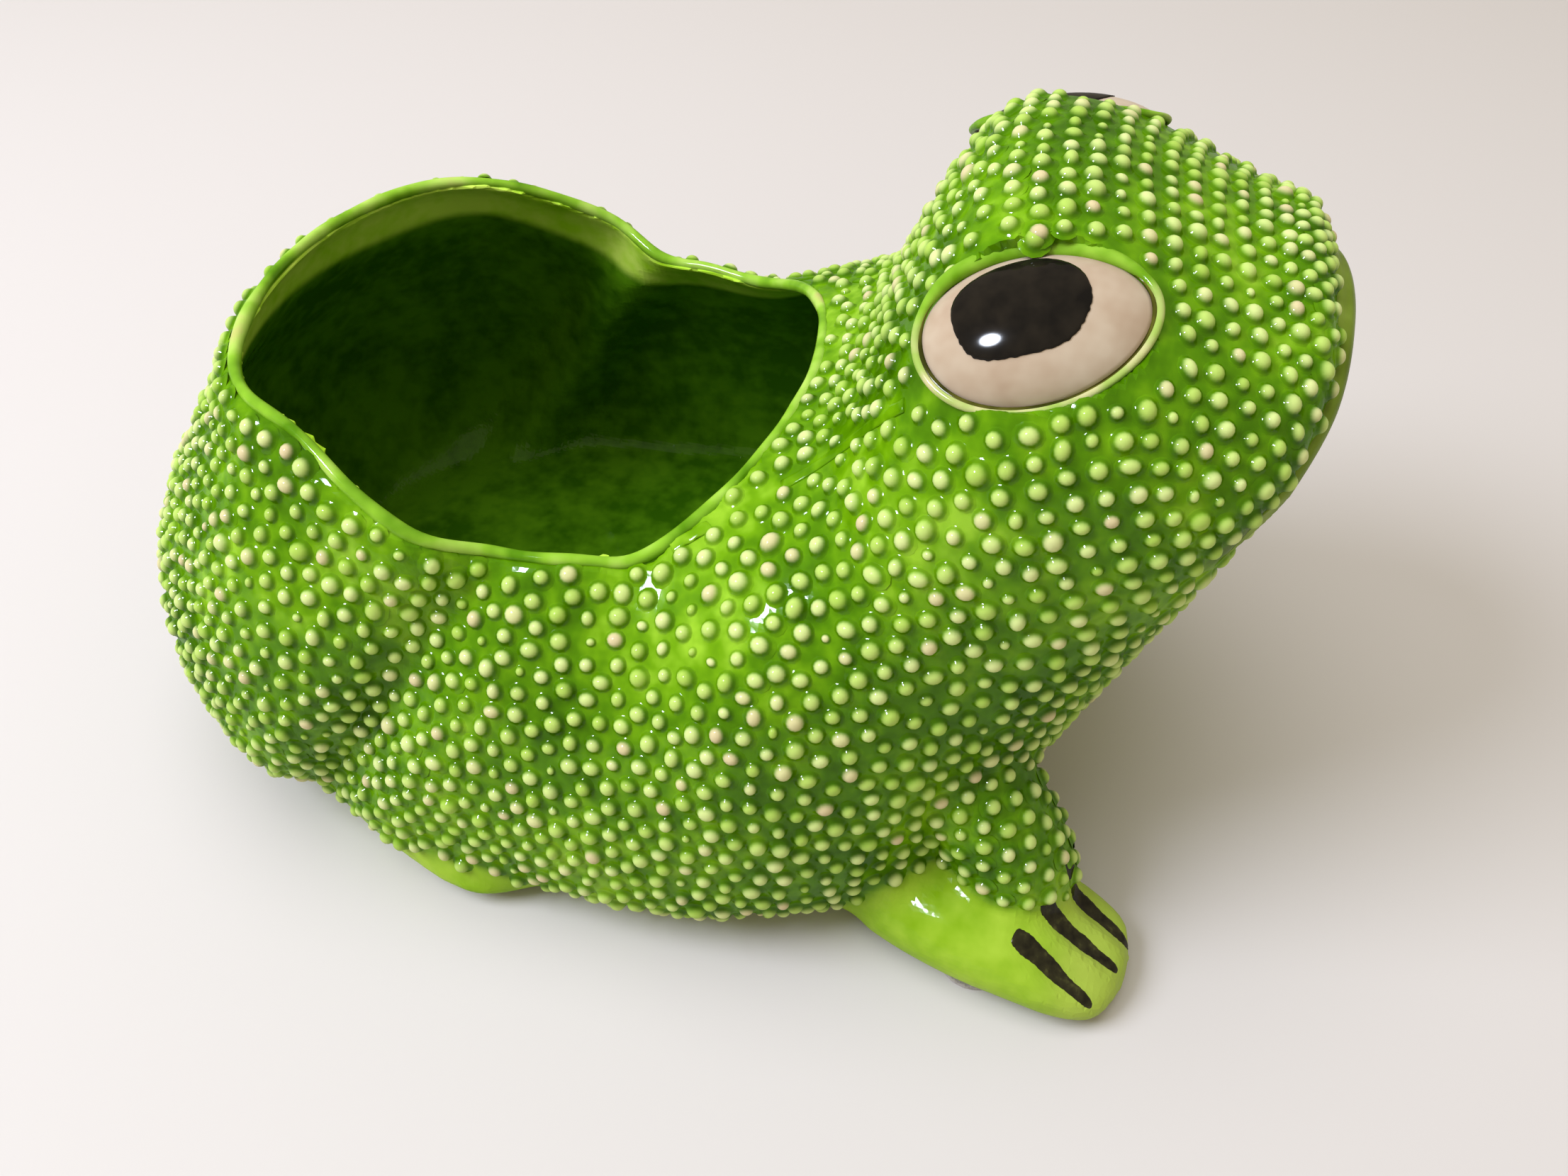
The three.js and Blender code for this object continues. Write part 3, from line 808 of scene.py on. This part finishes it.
# ---- Sweeps ----
def sweep(name, path, radii, out, closed, sides=10, flatten=1.0):
    """A rounded strip along a path. out is the way up from it, and flatten its thickness as a share of its width."""
    path, out = np.asarray(path, float), np.asarray(out, float)
    radii = np.broadcast_to(np.asarray(radii, float), (len(path),))
    if closed:
        travel = np.roll(path, -1, 0) - np.roll(path, 1, 0)
    else:
        travel = np.gradient(path, axis=0)
    travel /= np.linalg.norm(travel, axis=1, keepdims=True)
    across = np.cross(travel, out)
    across /= np.linalg.norm(across, axis=1, keepdims=True)
    up = np.cross(across, travel)
    turn = np.linspace(0, 2 * np.pi, sides, endpoint=False)
    points = (
        path[:, None]
        - across[:, None] * (np.cos(turn)[None, :, None] * radii[:, None, None])
        + up[:, None] * (np.sin(turn)[None, :, None] * radii[:, None, None] * flatten)
    )
    points = points.reshape(-1, 3)
    if closed:
        faces = [[k % len(points) for k in f] for f in tube_faces(len(path) + 1, sides)]
    else:
        faces = tube_faces(len(path), sides)
        points = np.concatenate([points, path[:1], path[-1:]])
        last = (len(path) - 1) * sides
        for j in range(sides):
            k = (j + 1) % sides
            faces.append([len(points) - 2, k, j])
            faces.append([len(points) - 1, last + j, last + k])
    return mesh_object(name, points + SHIFT, faces)


def piece(made, material, slot, *nodes):
    give(made, material)
    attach(made, "root")
    if nodes:
        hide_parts(*nodes)
    return made


# ---- Rim ----
def rim_material():
    """The same glaze on the rim's edge, where it fires thin and lets the tan clay through in spots."""
    material, tree, shader = new_material("thin_glaze_on_rim")
    place = add(tree, "TexCoord").outputs["Object"]
    drifts = add(tree, "TexNoise", {"Vector": place, "Scale": 60.0, "Detail": 3.0}).outputs["Fac"]
    stops = [(0.35, "#4f7f0a"), (0.5, "#7fae2a"), (0.62, "#a5c656"), (0.72, "#b9a56e")]
    colour = add(tree, "ValToRGB", {"Fac": drifts}, stops=stops).outputs["Color"]
    glaze_shader(tree, shader, colour)
    return material


# The lip is a little uneven in three slow waves, as a sponged edge is.
rim_turn = np.linspace(0, 2 * np.pi, RIM_STEPS, endpoint=False)
wave = np.sin(rim_turn[:, None] * [7, 13, 24] + [0.4, 2.0, 1.1]) @ [0.12, 0.08, 0.06]
rim = sweep("rim_lip", rim_edge - rim_out * 1.15, RIM_RADIUS + wave, rim_out, True, 14)
piece(rim, rim_material(), "green_glaze")


# ---- Seam ----
def on_skin(points):
    """The nearest places on the skin, with the way out there."""
    where, _, face = nearest_skin(np.asarray(points, float))
    corner = np.array([skin.data.polygons[int(f)].vertices[0] for f in face])
    return where, skin_normals[corner]


seam_path, seam_out = on_skin(spline(SEAM, np.linspace(0.02, 1, 70)))
for side, name in ((1, "left"), (-1, "right")):
    path, out = seam_path * [side, 1, 1], seam_out * [side, 1, 1]
    seam = sweep(f"mould_seam_{name}", path, 1.5, out, False, 10, 0.3)
    piece(seam, green_glaze, "green_glaze")


# ---- Eyes ----
def eye_outline(turn):
    """The eye's outline in its own frame: an almond that draws in towards its front corner."""
    x = EYE_HALF[0] * np.cos(turn)
    y = EYE_HALF[1] * np.sin(turn) * (1 - 0.1 * np.cos(turn)) + 1.2 * np.cos(turn) ** 2 * (np.cos(turn) > 0) * -1
    return np.stack([x, y], -1)


def dome_height(reach):
    return -EYE_BULGE + 2 * EYE_BULGE * np.sqrt(np.maximum(1 - 0.75 * np.minimum(reach, 1.12) ** 2, 0))


def disc(name, rim_of, heights, side, rings, sides):
    """A domed disc: rings of rim_of(turn) scaled from 0 to 1, lifted by heights(points, share)."""
    turn = np.linspace(0, 2 * np.pi, sides, endpoint=False)
    edge = rim_of(turn)
    middle = edge.mean(0)
    points = [np.append(middle, 0)]
    for ring in range(1, rings + 1):
        flat = middle + (edge - middle) * min(ring / (rings - 2), 1.0)
        points += [np.append(p, ring) for p in flat]
    points = np.array(points)
    points[:, 2] = heights(points[:, :2], points[:, 2])
    faces = [[0, 1 + j, 1 + (j + 1) % sides] for j in range(sides)]
    faces += [[1 + k for k in f][::-1] for f in tube_faces(rings, sides)]
    faces = [f if side > 0 else f[::-1] for f in faces]
    made = mesh_object(name, from_eye(points, side) + SHIFT, faces)
    return made


def dome(points, extra=0.0):
    reach = np.hypot(points[:, 0] / EYE_HALF[0], points[:, 1] / EYE_HALF[1])
    return dome_height(reach) + extra


def white_heights(points, ring):
    return np.where(ring > 30, -2.5 * (ring - 30), dome(points))


def pupil_edge(turn):
    """A rounded oblong, a little rough where the brush left it."""
    power = 2 / 2.35
    x = 11.6 * np.sign(np.cos(turn)) * np.abs(np.cos(turn)) ** power
    y = 9.1 * np.sign(np.sin(turn)) * np.abs(np.sin(turn)) ** power
    rough = 0.05 * np.sin(turn * 29 + 1) + 0.04 * np.sin(turn * 47) + 0.18 * np.sin(turn * 5 + 2)
    lower = smoothstep(np.sin(turn), -0.2, 0.5) + 0.35
    scale = 1 + rough * lower / 10
    tilt = math.radians(-8)
    x, y = x * scale, y * scale
    turned_x = x * math.cos(tilt) - y * math.sin(tilt)
    turned_y = x * math.sin(tilt) + y * math.cos(tilt)
    return np.stack([turned_x - 2.0, turned_y - 2.6], -1)


def pupil_heights(points, ring):
    return dome(points) + np.where(ring > 22, 0.22 - 0.26 * (ring - 22), 0.22)


def eye_white_material():
    """Cream underglaze under clear glaze, warmer where it was brushed thin."""
    material, tree, shader = new_material("cream_underglaze")
    place = add(tree, "TexCoord").outputs["Object"]
    wash = add(tree, "TexNoise", {"Vector": place, "Scale": 70.0, "Detail": 3.0, "Roughness": 0.6}).outputs["Fac"]
    colour = add(tree, "ValToRGB", {"Fac": wash}, stops=[(0.35, "#b5a68f"), (0.55, "#a8957d"), (0.7, "#988069")])
    glaze_shader(tree, shader, colour.outputs["Color"], 0.35)
    return material


def black_material():
    """Black overglaze enamel, brushed on and fired to a hard gloss."""
    material, tree, shader = new_material("black_overglaze_enamel")
    place = add(tree, "TexCoord").outputs["Object"]
    wash = add(tree, "TexNoise", {"Vector": place, "Scale": 260.0, "Detail": 2.0}).outputs["Fac"]
    colour = add(tree, "ValToRGB", {"Fac": wash}, stops=[(0.3, "#0e0c0a"), (0.7, "#1d1913")])
    glaze_shader(tree, shader, colour.outputs["Color"], 0.2)
    return material


def olive_line_material():
    """Green glaze drawn dark and brown into the groove round the eye, with painted shade in the groove."""
    material, tree, shader = new_material("olive_glaze_and_shade_in_groove")
    place = add(tree, "TexCoord").outputs["Object"]
    wash = add(tree, "TexNoise", {"Vector": place, "Scale": 150.0, "Detail": 2.0}).outputs["Fac"]
    colour = add(tree, "ValToRGB", {"Fac": wash}, stops=[(0.35, "#2f3208"), (0.65, "#5b5a1c")])
    glaze_shader(tree, shader, colour.outputs["Color"])
    return material


def lid_material():
    """Glaze over the rolled lid: thin and creamy below the eye, green above it."""
    material, tree, shader = new_material("thin_glaze_on_eyelid")
    lower = add(tree, "Attribute", attribute_name="lower").outputs["Fac"]
    place = add(tree, "TexCoord").outputs["Object"]
    wash = add(tree, "TexNoise", {"Vector": place, "Scale": 160.0, "Detail": 2.0}).outputs["Fac"]
    green = add(tree, "ValToRGB", {"Fac": wash}, stops=[(0.35, "#5f8f10"), (0.65, "#86b034")]).outputs["Color"]
    cream = add(tree, "ValToRGB", {"Fac": wash}, stops=[(0.35, "#93ad50"), (0.65, "#bdb884")]).outputs["Color"]
    colour = add(tree, "Mix", {0: lower, 6: green, 7: cream}, data_type="RGBA").outputs[2]
    glaze_shader(tree, shader, colour)
    return material


eye_white, black = eye_white_material(), black_material()
olive_line, lid_glaze = olive_line_material(), lid_material()
ring_turn = np.linspace(0, 2 * np.pi, 140, endpoint=False)
lower_lid = smoothstep(np.sin(ring_turn), -0.45, 0.15)
for side, name in ((1, "left"), (-1, "right")):
    piece(disc(f"eye_dome_{name}", eye_outline, white_heights, side, 32, 96), eye_white, "cream_glaze", f"eye_{name}")
    spot = disc(f"pupil_{name}", pupil_edge, pupil_heights, side, 24, 180)
    piece(spot, black, "black_enamel", f"pupil_enamel_{name}")
    around = eye_outline(ring_turn)
    out = np.broadcast_to(EYE_W * [side, 1, 1], (len(around), 3))
    line = from_eye(np.concatenate([around * 1.02, np.full((len(around), 1), -0.1)], 1), side)
    if side < 0:
        line = line[::-1]
    # The line is widest along the lower side, as painted shade under the eye's dome.
    line_width = 0.2 + 0.4 * (lower_lid if side > 0 else lower_lid[::-1])
    piece(sweep(f"eye_line_{name}", line, line_width, out, True, 8), olive_line, "olive_glaze")
    upper_lid = smoothstep(-np.sin(ring_turn), 0.35, 0.9)
    bigger = around * (1.06 + 0.02 * upper_lid)[:, None]
    lid = from_eye(np.concatenate([bigger, np.full((len(around), 1), -0.15)], 1), side)
    width = 0.8 + 0.8 * upper_lid
    share = lower_lid
    if side < 0:
        lid, width, share = lid[::-1], width[::-1], share[::-1]
    lid = sweep(f"eyelid_{name}", lid, width, out, True, 12, 0.9)
    note(lid, "lower", np.repeat(share, 12))
    piece(lid, lid_glaze, "cream_glaze")


# ---- Claws ----
# Each stroke runs from its blobby upper end to the tip of the toe: [x, y, half width].
CLAW_STROKES = [
    [[60.5, -77.5, 2.4], [62, -82, 2.3], [65, -89, 1.8], [67.8, -95.5, 1.3]],
    [[70, -74, 2.2], [71.2, -78.5, 2.4], [73.5, -86, 1.9], [75.3, -93, 1.3]],
    [[77.6, -69, 2.4], [79.2, -73.5, 2.3], [82.3, -81.5, 1.8], [84.6, -88, 1.2]],
]


def claw(name, stroke, side):
    path = spline(stroke, np.linspace(0, 1, 40))
    direction = np.gradient(path[:, :2], axis=0)
    direction /= np.linalg.norm(direction, axis=1, keepdims=True)
    across = np.stack([-direction[:, 1], direction[:, 0]], -1)
    ends = np.sqrt(np.clip(1 - (2 * np.linspace(0, 1, 40) - 1) ** 8, 0, 1))
    rows, columns = 40, 13
    points = []
    for i in range(rows):
        for j in range(columns):
            share = 2 * j / (columns - 1) - 1
            ragged = 1 + 0.06 * math.sin(i * 0.55 + stroke[0][0]) + 0.03 * math.sin(i * 2.3 + j)
            half = path[i, 2] * ends[i] * ragged
            x, y = path[i, :2] + across[i] * share * half
            hit = skin_tree.ray_cast(Vector((x, y, 60)), Vector((0, 0, -1)))
            lift = 0.28 * (1 - share**4) * ends[i] - 0.08
            hit = (hit[0], hit[1]) if hit[0] is not None else (Vector((x, y, 3)), Vector((0, 0, 1)))
            points.append(np.array(hit[0]) + np.array(hit[1]) * lift)
    faces = [
        [i * columns + j, (i + 1) * columns + j, (i + 1) * columns + j + 1, i * columns + j + 1]
        for i in range(rows - 1)
        for j in range(columns - 1)
    ]
    points = np.array(points)
    if side < 0:
        points, faces = both_sides(points), [f[::-1] for f in faces]
    return mesh_object(name, points + SHIFT, faces)


def claw_material():
    """Brown-black underglaze, put on with a loaded brush, thin enough at its ends to show the green."""
    material, tree, shader = new_material("brown_black_brushwork")
    place = add(tree, "TexCoord").outputs["Object"]
    wash = add(tree, "TexNoise", {"Vector": place, "Scale": 420.0, "Detail": 3.0}).outputs["Fac"]
    colour = add(tree, "ValToRGB", {"Fac": wash}, stops=[(0.3, "#17150c"), (0.6, "#2c2a18"), (0.78, "#4a4b26")])
    glaze_shader(tree, shader, colour.outputs["Color"], 0.3)
    return material


claw_paint = claw_material()
for side, name in ((1, "left"), (-1, "right")):
    for number, stroke in enumerate(CLAW_STROKES):
        node = f"claw_enamel_{number + 1}_{name}"
        piece(claw(f"claw_{number + 1}_{name}", stroke, side), claw_paint, "claw_enamel", node)


# ---- Lower lip ----
def lip_place():
    stops = LOWER_LIP + [[-s[0], *s[1:]] for s in LOWER_LIP[::-1]]

    def grooves(side, up, along):
        lines = sum(np.exp(-(((side - at) / 0.1) ** 2)) for at in (-0.5, 0.05, 0.55))
        return np.where(up > 0, 1 - 0.12 * lines, 1.0)

    return limb_place(stops, grooves)


def lip_material():
    """Green glaze thinned to olive on the smooth lip and over its tooled lines."""
    material, tree, shader = new_material("olive_glaze_on_lip")
    place = add(tree, "TexCoord").outputs["Object"]
    wash = add(tree, "TexNoise", {"Vector": place, "Scale": 55.0, "Detail": 3.0}).outputs["Fac"]
    colour = add(tree, "ValToRGB", {"Fac": wash}, stops=[(0.35, "#5a7014"), (0.55, "#728a2b"), (0.7, "#8ea548")])
    glaze_shader(tree, shader, colour.outputs["Color"])
    return material


lip_points, lip_faces = loft(lip_place(), 48, 150)
# Its ends sink into the cheeks.
where, facing, _ = nearest_skin(lip_points)
above = ((lip_points - where) * facing).sum(1)
most = -0.8 + 6.8 * (1 - smoothstep(np.abs(lip_points[:, 0]), 22, 53))
lip_points -= facing * np.maximum(above - most, 0)[:, None]
piece(mesh_object("lower_lip_roll", lip_points + SHIFT, lip_faces), lip_material(), "olive_glaze", "lower_lip")


# ---- Felt pads ----
def felt_pad(name, node):
    low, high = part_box(node)
    centre, radius, top = (low + high) / 2 / MM, (high.x - low.x) / 2 / MM, (high.z - low.z) / MM
    profile = np.array([(0.97, 0), (1, 0.25), (1, 0.75), (0.97, 1), (0.9, 1.02)]) * [radius, top]
    turn = np.linspace(0, 2 * np.pi, 48, endpoint=False)
    fuzz = 1 + 0.006 * np.sin(turn * 17) + 0.004 * np.sin(turn * 29 + 1)
    points = [[r * f * math.cos(t), r * f * math.sin(t), z] for r, z in profile for t, f in zip(turn, fuzz)]
    points = np.array(points) + [centre.x, centre.y, 0]
    faces = tube_faces(len(profile), 48)
    faces += [list(range(48))[::-1], list(range(4 * 48, 5 * 48))]
    return mesh_object(name, points, faces, smooth=False)


def felt_material():
    """Grey-beige pressed wool felt, die cut, with loose fibres on its edge."""
    material, tree, shader = new_material("pressed_wool_felt")
    place = add(tree, "TexCoord").outputs["Object"]
    fibres = add(tree, "TexNoise", {"Vector": place, "Scale": 1800.0, "Detail": 4.0, "Roughness": 0.7}).outputs["Fac"]
    colour = add(tree, "ValToRGB", {"Fac": fibres}, stops=[(0.3, "#77706a"), (0.55, "#989188"), (0.75, "#b3aca2")])
    tree.links.new(colour.outputs["Color"], shader.inputs["Base Color"])
    shader.inputs["Roughness"].default_value = 0.95
    shader.inputs["Sheen Weight"].default_value = 0.4
    bump = add(tree, "Bump", {"Strength": 0.7, "Distance": 0.0003, "Height": fibres})
    tree.links.new(bump.outputs["Normal"], shader.inputs["Normal"])
    return material


felt = felt_material()
for end in ("front", "rear"):
    for side in ("left", "right"):
        node = f"felt_pad_{end}_{side}"
        piece(felt_pad(f"pad_{end}_{side}", node), felt, "felt", node)

# ---- Stage ----
floor = mesh_object("floor", [[-3000, -3000, 0], [3000, -3000, 0], [3000, 3000, 0], [-3000, 3000, 0]], [[0, 1, 2, 3]])
paper, tree, shader = new_material("matt_white_card")
shader.inputs["Base Color"].default_value = linear("#c2beb8")
shader.inputs["Roughness"].default_value = 0.9
give(floor, paper)

world = bpy.data.worlds.new("room")
bpy.context.scene.world = world
world.use_nodes = True
world.node_tree.nodes["Background"].inputs["Color"].default_value = linear("#f3e5ca")
world.node_tree.nodes["Background"].inputs["Strength"].default_value = 0.68


def area_light(name, place, aim, size, power, colour, mirrored):
    data = bpy.data.lights.new(name, "AREA")
    data.shape = "DISK"
    data.energy = power
    data.size = size
    data.color = linear(colour)[:3]
    made = bpy.data.objects.new(name, data)
    bpy.context.scene.collection.objects.link(made)
    made.location = place
    made.rotation_euler = (Vector(aim) - Vector(place)).to_track_quat("-Z", "Y").to_euler()
    made.visible_glossy = mirrored
    made.visible_diffuse = not mirrored


# Two soft boxes give the light and its soft shadow. The glaze mirrors only the small bare lamp beside it.
area_light("soft_box", (-0.55, 1.05, 1.25), (0, 0, 0.08), 0.9, 33.0, "#e4eaff", False)
area_light("overhead", (0.0, 0.1, 1.5), (0, 0, 0), 1.2, 13.0, "#eef0ff", False)
area_light("lamp", (-0.75, 0.75, 1.25), (0, 0, 0.08), 0.32, 46.0, "#e6efff", True)

camera_data = bpy.data.cameras.new("camera")
camera_data.sensor_width = 36
camera_data.lens = 29.295
camera_data.clip_start = 0.01
camera = bpy.data.objects.new("camera", camera_data)
bpy.context.scene.collection.objects.link(camera)
camera.location = (-0.2260, -0.0725, 0.2653)
aim = Vector((-0.062, -0.0346, 0.097))
camera.rotation_euler = (aim - camera.location).to_track_quat("-Z", "Y").to_euler()
bpy.context.scene.camera = camera
bpy.context.scene.view_settings.view_transform = "Standard"
